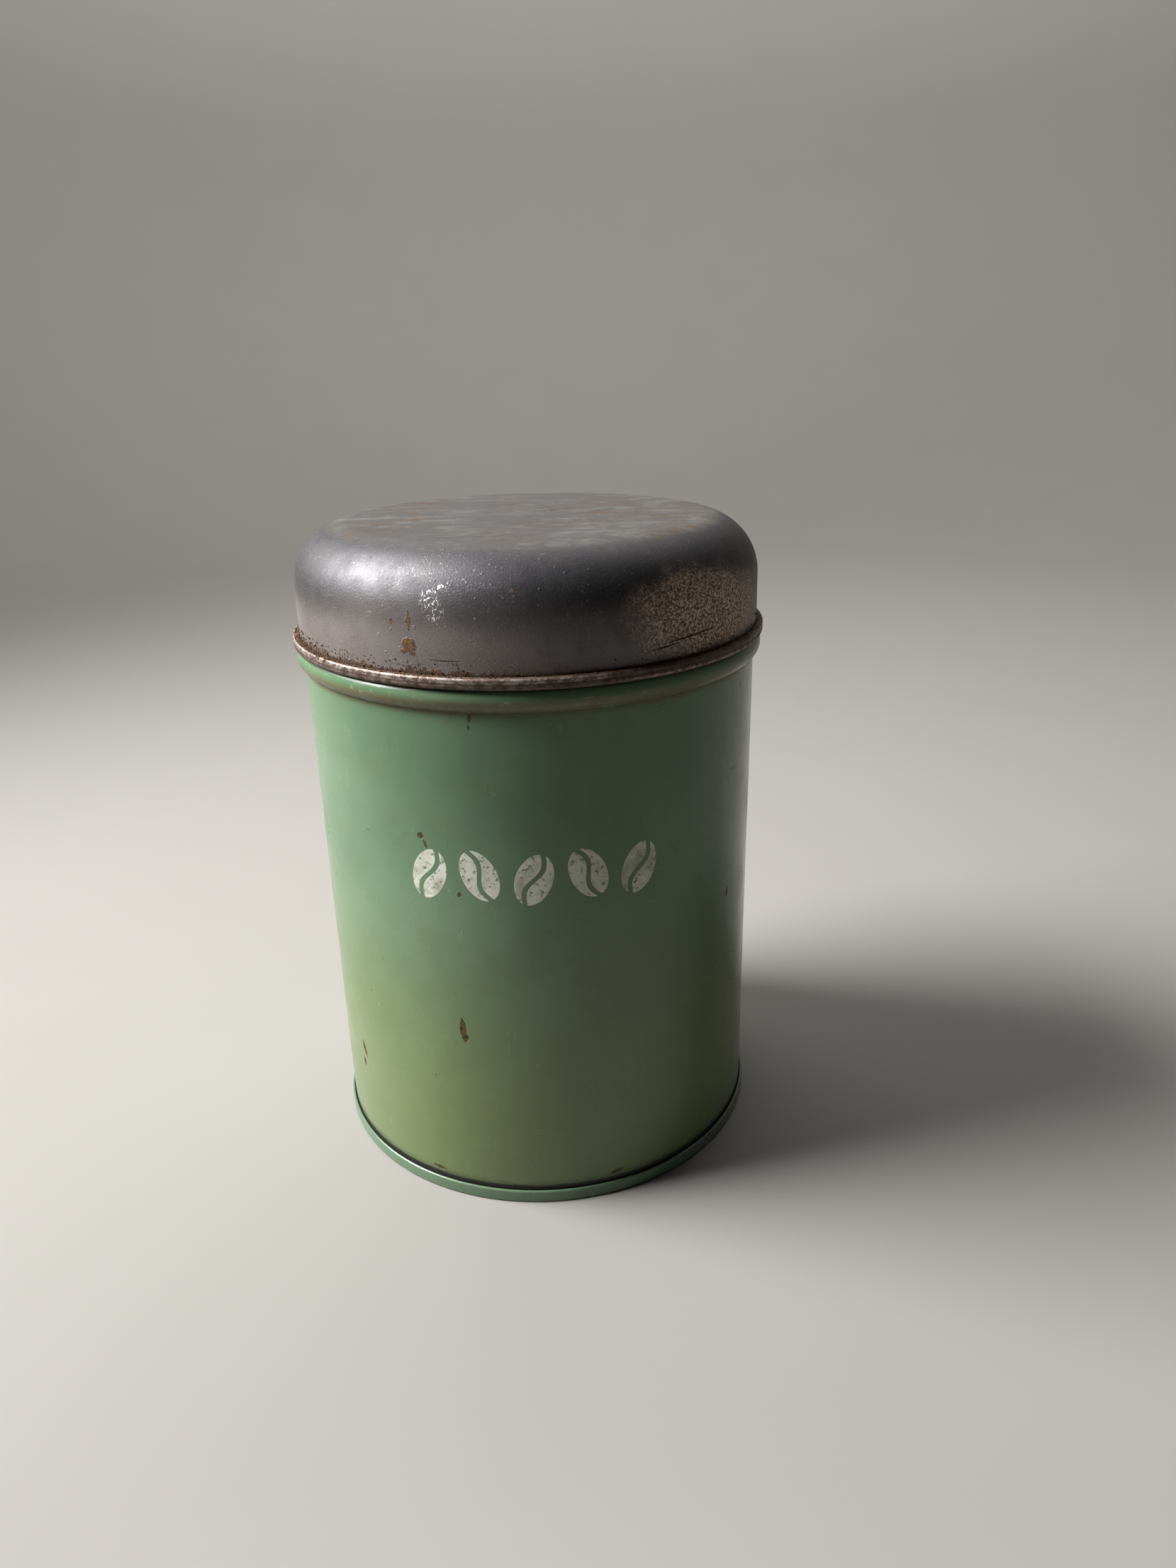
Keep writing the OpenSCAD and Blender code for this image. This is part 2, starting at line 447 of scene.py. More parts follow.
# Marks on the lacquer: angle, height, width, height of the mark, tilt, pointed
CHIPS = [
    (-17.6, 50.3, 2.0, 8.0, 4, True),
    (-17.1, 48.2, 1.6, 3.0, -12, True),
    (-25.0, 101.4, 1.8, 1.8, 0, False),
    (-23.9, 99.6, 0.8, 2.8, 20, True),
    (-16.1, 87.6, 1.1, 1.3, 0, False),
    (-11.0, 130.8, 0.9, 2.4, -4, True),
    (-11.3, 128.6, 0.8, 1.4, 6, True),
    (-55.0, 30.5, 1.8, 5.6, 24, True),
    (-55.8, 26.0, 1.3, 3.6, 10, True),
    (-27.5, 5.9, 4.4, 1.3, -6, True),
    (19.5, 6.1, 4.0, 1.2, 8, True),
    (58.0, 74.0, 1.2, 3.4, -15, True),
    (104.0, 108.0, 2.0, 4.6, 12, True),
    (137.0, 38.0, 1.8, 2.4, 0, False),
    (-112.0, 66.0, 1.6, 5.0, -20, True),
    (-151.0, 118.0, 2.4, 2.0, 0, False),
    (166.0, 20.0, 1.4, 3.8, 10, True),
]


def lacquer_colour(g, bounce_tint=0.54):
    """Colour and roughness of the green lacquer, with painted warm bounce light that yellows it towards the
    foot, without its flaws.
    """
    cloud = g.noise(42, 3.0, 0.55, seed=3.0)
    mottle = g.noise(9, 4.0, 0.6, seed=11.0)
    colour = g.mix(GREEN_DEEP, GREEN_PALE, g.ramp(cloud, 0.3, 0.72))
    colour = g.mix(colour, GREEN, 0.5)
    colour = g.mix(colour, GREEN_DULL, g.times(g.ramp(mottle, 0.5, 0.75), 0.35))
    # painted light: a yellow tint that grows towards the foot stands in for warm light bounced and
    # reflected from below
    painted_bounce_light = g.ramp(g.add(g.height, g.times(cloud, 30.0)), 110.0, 40.0)
    colour = g.mix(colour, srgb(106, 113, 61), g.times(painted_bounce_light, bounce_tint))
    film = g.times(g.ramp(g.noise(24, 5.0, 0.65, seed=19.0), 0.52, 0.75), 0.2)
    colour = g.mix(colour, DIRT_BROWN, film)
    streaks = g.ramp(g.noise(3.0, 3.0, 0.6, (1, 1, 9), seed=5.0), 0.58, 0.8)
    colour = g.mix(colour, GREEN_DULL, g.times(streaks, 0.3))
    rough = g.blend(0.16, 0.3, g.ramp(g.noise(14, 4.0, 0.6, seed=23.0), 0.35, 0.75))
    rough = g.add(rough, g.times(film, 0.5))
    return colour, rough


def lacquer_flaws(g, colour, rough, chips):
    """Adds chips, specks, scratches, dirt and painted shade under the rim. Returns colour, roughness, share
    of bare metal and height.
    """
    bead_z, wall_r, seam_z = BEAD_Z / MM, WALL_R / MM, SEAM_Z / MM
    fine = g.noise(0.7, 3.0, 0.65, seed=41.0)
    outside = g.ramp(g.radius, wall_r - 0.2, wall_r - 0.1)

    pale = g.times(g.threads(3.0, 0.008, (1, 1, 16), 51.0, 0.4), 0.45)
    pale = g.most(pale, g.times(g.threads(2.4, 0.008, (14, 14, 1), 57.0, 0.36), 0.35))
    colour = g.mix(colour, srgb(168, 190, 158), g.times(pale, 0.26))
    dust = g.specks(5.5, 0.16, 0.4, 7.0)
    colour = g.mix(colour, srgb(196, 204, 180), g.times(dust, 0.6))
    dark = g.most(g.specks(4.2, 0.26, 0.34, 13.0), g.specks(9.0, 0.5, 0.3, 29.0))
    smear = g.specks(9.0, 0.6, 0.36, 37.0, (1, 1, 2.4))
    wisp = g.ramp(g.noise(3.2, 5.0, 0.7, (1, 1, 2.2), 43.0), 0.64, 0.82)
    drawn = g.ramp(g.noise(2.2, 4.0, 0.7, (1, 1, 3), 47.0), 0.44, 0.66)
    haze = g.times(g.mark(60, 116, 34, 44, 0, False, 0.3, 9.0, 0.9), drawn)
    colour = g.mix(colour, srgb(124, 122, 92), g.times(haze, 0.4))
    colour = g.mix(colour, CHIP_DARK, g.times(dark, 0.85))
    colour = g.mix(colour, DIRT_BROWN, g.most(g.times(smear, 0.65), g.times(wisp, 0.46)))

    # Dirt lies in the bead's creases, in the groove above the base seam and just over it. Just under the
    # rim the bead gets painted shade, a black band where the rim's overhang shades it
    ragged = g.times(g.minus(g.noise(5, 5.0, 0.7, seed=61.0), 0.5), 2.0)
    crease = g.times(g.band(g.height, bead_z + 0.1, 0.3, 0.6), g.ramp(ragged, -0.6, 0.3))
    wash = g.times(g.band(g.height, bead_z + 0.9, 1.0, 1.8), g.ramp(ragged, -0.9, 0.2), 0.92)
    fringe = g.times(g.band(g.height, bead_z - 0.6, 0.5, 3.0), g.ramp(ragged, -0.1, 0.5), 0.4)
    over_bead = g.minus(g.height, bead_z)
    # painted shade: a black band on the bead just under the lid's rim, where the rim's overhang shades it
    painted_shade_under_rim = g.times(g.ramp(over_bead, 4.3, 5.3), g.ramp(over_bead, 7.2, 6.2))
    in_groove = g.ramp(g.radius, wall_r + 0.42, wall_r + 0.3)
    above = g.minus(g.height, seam_z)
    groove = g.ramp(g.add(above, g.times(ragged, 0.5)), 1.7, 1.0)
    groove = g.times(groove, g.ramp(above, -0.7, -0.4), in_groove)
    smoke = g.times(g.ramp(g.add(above, g.times(ragged, -1.8)), 3.3, 0.2), in_groove, 0.55)
    colour = g.mix(colour, DIRT_BROWN, g.times(g.most(crease, wash, fringe), 0.88, outside))
    # black dirt in the groove and just above it, and the painted shade under the rim
    colour = g.mix(colour, BLACK_DIRT_AND_SHADE, g.times(g.most(groove, smoke, g.times(painted_shade_under_rim, 0.9)), outside))
    # roughness follows the dirt and the painted shade under the rim
    dirt_and_shade = g.times(g.most(crease, g.times(wash, 0.4), groove, smoke, painted_shade_under_rim), outside)

    # Paint is rubbed thin along the crest of the bead
    thinned = g.ramp(g.noise(3.0, 5.0, 0.7, (1, 1, 0.5), 73.0), 0.56, 0.7)
    crest = g.times(g.ramp(g.radius, wall_r + 1.0, wall_r + 1.7), thinned)
    colour = g.mix(colour, srgb(150, 158, 132), g.times(crest, 0.5))

    bare = 0.0
    for angle, height, wide, tall, tilt, leaf in chips:
        bare = g.most(bare, g.mark(angle, height, wide, tall, tilt, leaf, 0.5))
    nicks = g.ramp(g.noise(1.6, 4.0, 0.7, seed=83.0), 0.7, 0.73)
    nicks = g.times(nicks, g.ramp(g.noise(12, 2.0, 0.5, seed=89.0), 0.5, 0.6))
    bare = g.times(g.most(bare, g.times(nicks, 0.9)), outside)
    core = g.ramp(fine, 0.46, 0.62)
    colour = g.mix(colour, g.mix(CHIP_RUST, CHIP_DARK, core), bare)

    rough = g.add(rough, g.times(pale, 0.2))
    rough = g.blend(rough, 0.72, g.most(bare, g.times(dirt_and_shade, 0.8), g.times(dark, 0.6)))
    height = g.add(g.times(bare, -1.0), g.times(dark, -0.4))
    height = g.add(height, g.times(pale, -0.12))
    height = g.add(height, g.times(g.ramp(g.noise(1.1, 2.0, 0.5, seed=97.0), 0.2, 0.8), 0.05))
    return colour, rough, bare, height


def bean_row(g):
    """Mask of a row of stencilled coffee beans, each an oval with an S-shaped slit, in worn paint."""
    beans, pitch, first, middle = 5, 12.6, 1.4, 92.3
    wide, tall, slit, swing = 4.3, 6.6, 0.62, 1.15
    mask = 0.0
    for i in range(beans):
        angle = first + math.degrees((i - (beans - 1) / 2) * pitch / (WALL_R / MM))
        u, v = g.local(angle, middle + (0.5 if i % 2 else -0.3), 24 if i % 2 else -20)
        u2, v2 = g.times(u, 1 / wide), g.times(v, 1 / tall)
        oval = g.ramp(g.add(g.times(u2, u2), g.times(v2, v2)), 1.03, 0.97)
        curve = g.times(g.math("SINE", g.times(v, math.pi / tall)), swing)
        gap = g.ramp(g.math("ABSOLUTE", g.minus(u, curve)), slit - 0.06, slit + 0.06)
        mask = g.most(mask, g.times(oval, gap))
    worn = g.ramp(g.noise(1.5, 6.0, 0.75, seed=101.0), 0.37, 0.47)
    scuffed = g.ramp(g.noise(0.5, 3.0, 0.6, (1, 1, 3), 107.0), 0.3, 0.42)
    thin = g.ramp(g.noise(7, 3.0, 0.6, seed=109.0), 0.3, 0.6)
    return g.times(mask, g.times(worn, g.blend(0.86, 1.0, scuffed))), thin


def green_lacquer():
    """Outside of the tin's wall, bead and neck."""
    g = Graph("green_lacquer")
    colour, rough = lacquer_colour(g)
    paint, thin = bean_row(g)
    tint = g.mix(STENCIL_DULL, STENCIL, thin)
    tint = g.mix(tint, DIRT_BROWN, g.times(g.noise(2.5, 4.0, 0.6, seed=113.0), 0.16))
    colour = g.mix(colour, tint, paint)
    rough = g.blend(rough, 0.42, paint)
    colour, rough, bare, height = lacquer_flaws(g, colour, rough, CHIPS)
    height = g.add(height, g.times(paint, 0.25))

    # The lid has rubbed the neck through to the tinplate in places
    neck = g.ramp(g.height, BEAD_Z / MM + 5.2, BEAD_Z / MM + 7.0)
    rub = g.ramp(g.noise(5, 5.0, 0.7, (2.4, 2.4, 1), 127.0), 0.46, 0.56)
    lines = g.threads(3.0, 0.012, (5, 5, 1), 131.0, 0.7)
    lines = g.most(lines, g.threads(3.0, 0.012, (1, 1, 5), 137.0, 0.5))
    edge = g.ramp(g.height, MOUTH_Z / MM - 2.6, MOUTH_Z / MM - 1.2)
    rubbed = g.times(neck, g.most(g.times(rub, 0.9), lines, edge))
    colour = g.mix(colour, srgb(150, 148, 138), rubbed)
    rough = g.blend(rough, 0.34, rubbed)
    metal = g.most(g.times(bare, 0.35), g.times(rubbed, 0.9))
    height = g.add(height, g.times(rubbed, -0.3))
    g.set(base_color=colour, roughness=rough, metallic=metal, normal=g.bump(height, 0.12))
    g.shader.inputs["IOR"].default_value = 1.47
    return g.material


def base_lacquer():
    """Outside of the base: the foot ring in view and the underside."""
    g = Graph("base_lacquer")
    # only a little of the painted yellow bounce light on the base
    colour, rough = lacquer_colour(g, 0.1)
    colour = g.mix(colour, srgb(88, 109, 92), 0.5)
    colour, rough, bare, height = lacquer_flaws(g, colour, rough, [])
    seam_r = SEAM_R / MM
    edge = g.band(g.radius, seam_r - 0.1, 0.12, 0.1)
    nicked = g.times(edge, g.ramp(g.noise(1.8, 4.0, 0.7, seed=139.0), 0.66, 0.7))
    foot = g.times(g.ramp(g.height, 0.5, 0.1), g.ramp(g.noise(1.3, 4.0, 0.7, seed=149.0), 0.4, 0.55))
    under = g.ramp(g.radius, WALL_R / MM - 0.1, WALL_R / MM - 0.5)
    under = g.times(under, g.ramp(g.noise(7, 5.0, 0.7, seed=151.0), 0.5, 0.6))
    worn = g.most(g.times(nicked, 0.9), foot, g.times(under, 0.85))
    rust = g.ramp(g.noise(2.2, 4.0, 0.7, seed=157.0), 0.4, 0.6)
    colour = g.mix(colour, g.mix(srgb(120, 112, 98), srgb(96, 58, 32), rust), worn)
    metal = g.most(g.times(worn, g.flip(rust), 0.8), g.times(bare, 0.3))
    g.set(
        base_color=colour,
        roughness=g.blend(rough, 0.5, worn),
        metallic=metal,
        normal=g.bump(g.add(height, g.times(worn, -0.4)), 0.1),
    )
    return g.material


# ---------------------------------------------------------------- bare metal


def stained_tinplate(name, coffee=0.5):
    """Bare tinplate inside the tin or the lid, dulled, scratched and stained brown."""
    g = Graph(name)
    cloud = g.noise(18, 5.0, 0.6, seed=163.0)
    colour = g.mix(srgb(176, 174, 166), srgb(142, 138, 128), g.ramp(cloud, 0.35, 0.7))
    stain = g.ramp(g.noise(11, 5.0, 0.68, seed=167.0), 0.62 - 0.22 * coffee, 0.8 - 0.2 * coffee)
    freckle = g.most(g.specks(3.2, 0.34, 0.35, 173.0), g.specks(7.0, 0.7, 0.3, 179.0))
    rust = g.times(freckle, g.ramp(g.noise(20, 3.0, 0.6, seed=181.0), 0.42, 0.6))
    lines = g.threads(6.0, 0.006, (6, 6, 1), 191.0, 0.5)
    lines = g.most(lines, g.threads(9.0, 0.006, (1, 1, 6), 193.0, 0.45))
    colour = g.mix(colour, srgb(112, 86, 52), g.times(stain, 0.25 + 0.5 * coffee))
    colour = g.mix(colour, srgb(92, 52, 26), g.times(rust, 0.85))
    colour = g.mix(colour, srgb(206, 204, 198), g.times(lines, 0.5))
    rough = g.blend(g.blend(0.24, 0.4, cloud), 0.62, g.most(g.times(stain, 0.6), rust))
    metal = g.flip(g.most(g.times(rust, 0.9), g.times(stain, 0.35)))
    height = g.add(g.times(rust, 0.5), g.times(lines, -0.2))
    height = g.add(height, g.times(g.noise(2.4, 3.0, 0.6, seed=197.0), 0.3))
    g.set(base_color=colour, roughness=rough, metallic=metal, normal=g.bump(height, 0.08))
    return g.material


STEEL = srgb(73, 72, 75)
STEEL_WARM = srgb(122, 114, 110)
OXIDE = srgb(64, 58, 54)
GRIT_PALE = srgb(236, 208, 188)
RUST_ORANGE = srgb(106, 72, 20)
RUST_BROWN = srgb(78, 49, 30)
RUST_DARK = srgb(44, 29, 23)

# Rust on the skirt: angle, height, width, height of the spot, pointed
RUST_SPOTS = [
    (-23.6, 146.4, 3.8, 3.4, False),
    (-24.8, 145.0, 2.2, 1.2, True),
    (-22.6, 144.6, 1.6, 1.4, True),
    (-23.3, 151.6, 1.2, 4.8, True),
    (-27.6, 151.4, 1.0, 1.4, False),
    (-0.5, 158.0, 0.9, 0.8, False),
    (96.0, 148.0, 3.0, 4.0, False),
    (-128.0, 150.0, 2.2, 3.0, False),
    (171.0, 146.0, 4.2, 2.6, False),
]


def rust_colour(g, orange):
    """Grainy rust, more orange where orange is 1."""
    tone = g.noise(0.7, 4.0, 0.75, seed=293.0)
    colour = g.mix(RUST_BROWN, RUST_ORANGE, g.times(g.ramp(tone, 0.4, 0.62), g.blend(0.35, 1.0, orange)))
    return g.mix(colour, RUST_DARK, g.ramp(g.noise(0.9, 3.0, 0.8, seed=307.0), 0.48, 0.62)), tone


def lid_metal(g):
    """Satin metal under an oxide film, with fine grit. Returns colour, roughness, metal and grit."""
    cloud = g.noise(34, 4.0, 0.55, seed=199.0)
    mottle = g.noise(4.5, 5.0, 0.65, seed=211.0)
    film = g.ramp(g.noise(13, 5.0, 0.62, seed=223.0), 0.36, 0.7)
    lower = g.ramp(g.add(g.height, g.times(cloud, 10.0)), LID_TOP / MM - 3.0, ROLL_TOP / MM + 11.0)
    colour = g.mix(STEEL, STEEL_WARM, g.times(lower, 0.8))
    colour = g.mix(colour, OXIDE, g.times(film, 0.28))
    colour = g.mix(colour, OXIDE, g.times(g.ramp(mottle, 0.5, 0.76), 0.22))
    grit = g.noise(0.45, 2.0, 0.7, seed=217.0)
    where = g.ramp(g.noise(15, 3.0, 0.6, seed=219.0), 0.3, 0.66)
    colour = g.mix(colour, RUST_DARK, g.times(g.ramp(grit, 0.6, 0.72), where, 0.5))
    colour = g.mix(colour, srgb(206, 202, 198), g.times(g.ramp(grit, 0.38, 0.28), where, 0.35))
    rough = g.blend(0.5, 0.6, g.ramp(mottle, 0.35, 0.7))
    metal = g.blend(g.blend(0.9, 0.75, film), 0.35, lower)
    return colour, rough, metal, grit


def oxidised_lid():
    """Outside of the lid: satin oxidised tinplate, with a pitted patch, scuffs, rust and a rubbed rim."""
    g = Graph("oxidised_lid")
    skirt_r, top_z, roll_top = SKIRT_R / MM, LID_TOP / MM, ROLL_TOP / MM
    colour, rough, metal, grit = lid_metal(g)

    # Top: dusty, with brown scuffs in a few places, wiped ones and fine scratches both ways
    top = g.ramp(g.height, top_z - 1.6, top_z - 0.1)
    places = g.ramp(g.noise(21, 2.0, 0.5, seed=225.0), 0.44, 0.6)
    scuff = g.times(top, places, g.ramp(g.noise(2.2, 5.0, 0.78, (2.2, 1, 1), 227.0), 0.5, 0.57))
    wipe = g.times(top, g.ramp(g.noise(4.5, 5.0, 0.72, (2.4, 1, 1), 229.0), 0.48, 0.64))
    cross = g.threads(2.4, 0.01, (12, 2, 1), 233.0, 0.45)
    cross = g.times(top, g.most(cross, g.threads(2.2, 0.01, (1.6, 10, 1), 239.0, 0.4)))
    colour = g.mix(colour, srgb(88, 85, 81), g.times(top, 0.4))
    colour = g.mix(colour, srgb(120, 117, 111), g.times(wipe, 0.45))
    colour = g.mix(colour, srgb(84, 66, 50), g.times(scuff, 0.8))
    colour = g.mix(colour, srgb(64, 48, 38), g.times(cross, 0.55))
    rough = g.blend(rough, 0.58, g.times(top, 0.8))
    metal = g.blend(metal, 0.5, g.times(top, 0.8))

    # Grainy patch where the tin has gone, with a long scratch through its lower edge
    faint = g.times(g.mark(-140, 149, 40, 18, 10, False, 0.6, 9.0, 0.9), 0.35)
    reach = g.most(g.mark(48, 148.5, 56, 26, -6, False, 0.5, 9.0, 0.9), faint)
    grain = g.noise(0.55, 3.0, 0.8, seed=241.0)
    pale_grain = g.times(reach, g.ramp(grain, 0.52, 0.42))
    dark_grain = g.times(reach, g.ramp(grain, 0.5, 0.6))
    colour = g.mix(colour, srgb(138, 117, 104), g.times(reach, 0.75))
    colour = g.mix(colour, GRIT_PALE, g.times(pale_grain, 0.85))
    colour = g.mix(colour, RUST_DARK, g.times(dark_grain, 0.72))
    rough = g.blend(rough, 0.68, reach)
    metal = g.blend(metal, 0.3, reach)
    line = g.most(g.mark(41, 144.9, 20, 0.6, 4, True, 0.3), g.mark(33, 143.6, 9, 0.5, 5, True, 0.3))
    line = g.most(line, g.times(g.mark(-15.5, 143.4, 9, 0.5, -1, True, 0.5), 0.8))

    # Pits and specks everywhere, and a cluster of short silver scrapes
    pits = g.most(g.specks(2.6, 0.2, 0.4, 251.0), g.specks(6.5, 0.44, 0.3, 257.0))
    pimples = g.times(g.specks(1.7, 0.42, 0.6, 253.0), g.flip(g.times(top, 0.6)))
    strokes = g.ramp(g.noise(0.4, 3.0, 0.7, (1.2, 1.2, 3.4), 269.0), 0.54, 0.62)
    cluster = g.mark(-17.8, 154.8, 5.5, 9.0, 24, False, 0.6, 2.0, 0.8)
    cluster = g.most(cluster, g.mark(-16, 158.4, 4.4, 2.0, 40, True, 0.6))
    scrape = g.times(cluster, strokes)
    picked = g.mark(-16.6, 151.8, 6.0, 3.0, 0, False, 0.6, 2.0, 0.8)
    pits = g.most(pits, g.times(picked, g.ramp(grit, 0.6, 0.68)))
    bright = g.times(g.threads(2.4, 0.007, (12, 12, 1), 263.0, 0.36), 0.4)
    colour = g.mix(colour, RUST_DARK, g.most(g.times(pits, 0.75), g.times(line, 0.9)))
    colour = g.mix(colour, srgb(222, 222, 224), g.most(g.times(bright, 0.4), g.times(scrape, 0.78)))

    # Rust: single spots, freckles, and a band that creeps up from the roll, heaviest at the left
    spots = 0.0
    for angle, height, wide, tall, leaf in RUST_SPOTS:
        spots = g.most(spots, g.mark(angle, height, wide, tall, 0, leaf, 1.0))
    left = g.ramp(g.math("ABSOLUTE", g.add(g.around, 42.0)), 52.0, 22.0)
    left = g.most(left, g.times(g.ramp(g.noise(40, 1.0, 0.5, (1, 1, 9), 271.0), 0.4, 0.62), 0.7))
    creep = g.add(g.minus(g.height, roll_top), g.times(g.noise(1.7, 5.0, 0.75, (1, 1, 1.6), 277.0), -7.0))
    band = g.times(g.ramp(creep, -2.0, -2.9), left)
    above_roll = g.ramp(g.height, roll_top - 0.35, roll_top - 0.15)
    out = g.minus(g.radius, skirt_r)
    ledge = g.times(g.ramp(out, 0.02, 0.12), above_roll, g.ramp(out, 1.5, 1.2))
    junction = g.times(g.band(g.height, roll_top - 0.1, 0.3, 0.5), g.ramp(out, 0.3, 0.1))
    freckle = g.times(g.specks(3.4, 0.4, 0.3, 281.0), g.ramp(g.noise(16, 3.0, 0.6, seed=283.0), 0.5, 0.66))
    band = g.times(band, g.ramp(out, 1.3, 1.1))
    rust = g.most(spots, band, g.times(ledge, 0.92), g.times(freckle, 0.6))
    tint, tone = rust_colour(g, spots)
    colour = g.mix(colour, tint, rust)
    colour = g.mix(colour, RUST_DARK, g.times(junction, 0.8))

    # The roll's outer face: rubbed above the pinch line, brown below it, and at the right painted shade in
    # the dark colours of the rust that also lies there
    roll = g.times(g.ramp(out, 0.55, 0.7), g.ramp(g.height, roll_top + 0.3, roll_top))
    pinch = WIRE_Z / MM + 0.5
    low_half = g.ramp(g.height, pinch + 0.05, pinch - 0.1)
    chafe = g.noise(1.3, 5.0, 0.75, (1.4, 1.4, 1), 311.0)
    rubbed = g.mix(srgb(146, 136, 130), srgb(92, 72, 61), g.ramp(chafe, 0.42, 0.56))
    # painted shade: the roll's right stretch, turned from the light, is darkened in rust colours, and the
    # rubbed colour takes it
    right_painted_shade = g.times(g.ramp(g.around, 18.0, 32.0), g.ramp(g.around, 74.0, 60.0))
    rubbed = g.mix(rubbed, g.mix(RUST_BROWN, RUST_DARK, 0.6), g.times(right_painted_shade, 0.85))
    brown = g.mix(srgb(100, 84, 74), srgb(56, 40, 32), g.ramp(chafe, 0.4, 0.6))
    # a pale line along the roll, only in that same right stretch
    lip = g.times(right_painted_shade, g.band(g.height, WIRE_Z / MM - 0.2, 0.1, 0.2))
    brown = g.mix(brown, srgb(172, 146, 132), g.times(lip, g.ramp(chafe, 0.6, 0.4)))
    rim_colour = g.mix(rubbed, brown, g.most(low_half, g.times(g.ramp(chafe, 0.6, 0.7), 0.6)))
    face = g.times(roll, g.flip(g.times(ledge, 0.85)))
    colour = g.mix(colour, rim_colour, face)
    seam_line = g.times(roll, g.band(g.height, pinch, 0.05, 0.1))
    colour = g.mix(colour, RUST_DARK, g.times(seam_line, 0.85))

    rough = g.blend(rough, 0.85, g.most(rust, junction, seam_line, g.times(pits, 0.6), line))
    rough = g.blend(rough, g.blend(0.52, 0.62, low_half), face)
    metal = g.blend(metal, 0.05, g.most(rust, junction, g.times(pits, 0.6)))
    metal = g.blend(metal, g.blend(0.45, 0.3, low_half), face)
    height = g.times(g.minus(grit, 0.5), -0.6)
    height = g.add(height, g.times(g.minus(dark_grain, pale_grain), -0.5))
    height = g.add(height, g.times(pimples, 0.55))
    height = g.add(height, g.times(g.most(pits, line), -0.8))
    height = g.add(height, g.times(rust, g.blend(0.2, 1.2, tone)))
    height = g.add(height, g.times(g.most(scrape, cross), -0.3))
    g.set(base_color=colour, roughness=rough, metallic=metal, normal=g.bump(height, 0.09))
    return g.material


def rust_crumbs():
    """Loose rust on the rim."""
    g = Graph("rust_crumbs")
    tint, tone = rust_colour(g, 0.6)
    g.set(base_color=tint, roughness=0.9, normal=g.bump(tone, 0.06))
    return g.material


def dull_metal(name, pale, dark, rough, metal, depth):
    """Solder or wire: two tones in a fine mottle."""
    g = Graph(name)
    mottle = g.noise(1.6, 4.0, 0.65, seed=317.0)
    broad = g.noise(9, 3.0, 0.6, seed=331.0)
    colour = g.mix(pale, dark, g.ramp(g.add(g.times(mottle, 0.6), g.times(broad, 0.4)), 0.4, 0.62))
    g.set(
        base_color=colour,
        roughness=g.blend(rough, rough + 0.25, mottle),
        metallic=g.blend(metal, 0.6 * metal, broad),
        normal=g.bump(mottle, depth),
    )
    return g.material


def solder_under_lacquer():
    """Solder run of the side seam: lacquered over like the wall, worn through to grey here and there."""
    g = Graph("solder_under_lacquer")
    colour, rough = lacquer_colour(g)
    worn = g.ramp(g.noise(4, 5.0, 0.7, (1, 1, 3), 337.0), 0.52, 0.6)
    grey = g.mix(srgb(132, 133, 128), srgb(84, 82, 74), g.noise(1.2, 3.0, 0.6, seed=347.0))
    colour = g.mix(g.mix(colour, DIRT_BROWN, 0.3), grey, worn)
    lumps = g.noise(2.6, 3.0, 0.55, (1, 1, 2), 349.0)
    g.set(
        base_color=colour,
        roughness=g.blend(rough, 0.45, worn),
        metallic=g.times(worn, 0.85),
        normal=g.bump(lumps, 0.12),
    )
    return g.material


# ---------------------------------------------------------------- pieces

# Half of the angle that the groove and the folded layers of the side seam take up, and where each one ends
GROOVE_HALF = math.asin(0.5 * (solder_high.x - solder_low.x) / WALL_R)
GROOVE_END = 1.25 * GROOVE_HALF
LOCK_HALF = math.asin(0.5 * LOCK_WIDTH / WALL_R)
LOCK_END = 1.06 * LOCK_HALF


def wall_columns(count):
    """Even meridians, with more at the sides of the seam's groove and of its folded strip."""
    near = [BACK + side * at for side in (-1, 1) for at in (GROOVE_HALF, GROOVE_END, LOCK_HALF, LOCK_END)]
    return merged(count, near, 0.3)


def wall_shape(radius, height, angle):
    """Used wall: barely out of round, with shallow dents, a groove at the seam and a strip inside it."""
    x, y = radius * math.cos(angle), radius * math.sin(angle)
    body = fade(height, 8 * MM, 30 * MM) * (1 - fade(height, BEAD_Z - 20 * MM, BEAD_Z - 3 * MM))
    change = 0.22 * MM * body * ripple(x, y, 0.6 * height, 34 * MM, 1.3)
    change += 0.05 * MM * ripple(x, y, height, 9 * MM, 2.1) * fade(height, 4 * MM, 12 * MM) * body
    away = abs(angle - BACK)
    if radius > WALL_R - 0.1 * MM:
        groove = 1 - fade(away, GROOVE_HALF, GROOVE_END)
        change -= GROOVE_DEPTH * groove * between(height, solder_low.z, solder_high.z, 0.2 * MM)
    elif height > 5.5 * MM:
        strip = 1 - fade(away, LOCK_HALF, LOCK_END)
        change -= LOCK_LAYERS * SHEET * strip * between(height, 6.2 * MM, MOUTH_Z - 2.6 * MM, 0.2 * MM)
    return radius + change, height


def wall_inside(radius, height, normal):
    curl = height > MOUTH_Z - 1.9 * MM and radius < WALL_R - 0.08 * MM
    return curl or (normal[0] < -0.05 and radius < WALL_R + 1.6 * MM and height > 3 * MM)


def base_shape(radius, height, angle):
    """The panel is slightly uneven, and the edges of the foot ring have small dings."""
    x, y = radius * math.cos(angle), radius * math.sin(angle)
    panel = 1 - fade(radius, 50 * MM, 55 * MM)
    lift = 0.15 * MM * panel * ripple(x, y, 0, 22 * MM, 3.3)
    ring = fade(radius, SEAM_R - 0.4 * MM, SEAM_R)
    ding = max(0, ripple(x, y, height, 5 * MM, 4.1) - 0.3) * 0.25 * MM * ring
    return radius - ding, height + lift


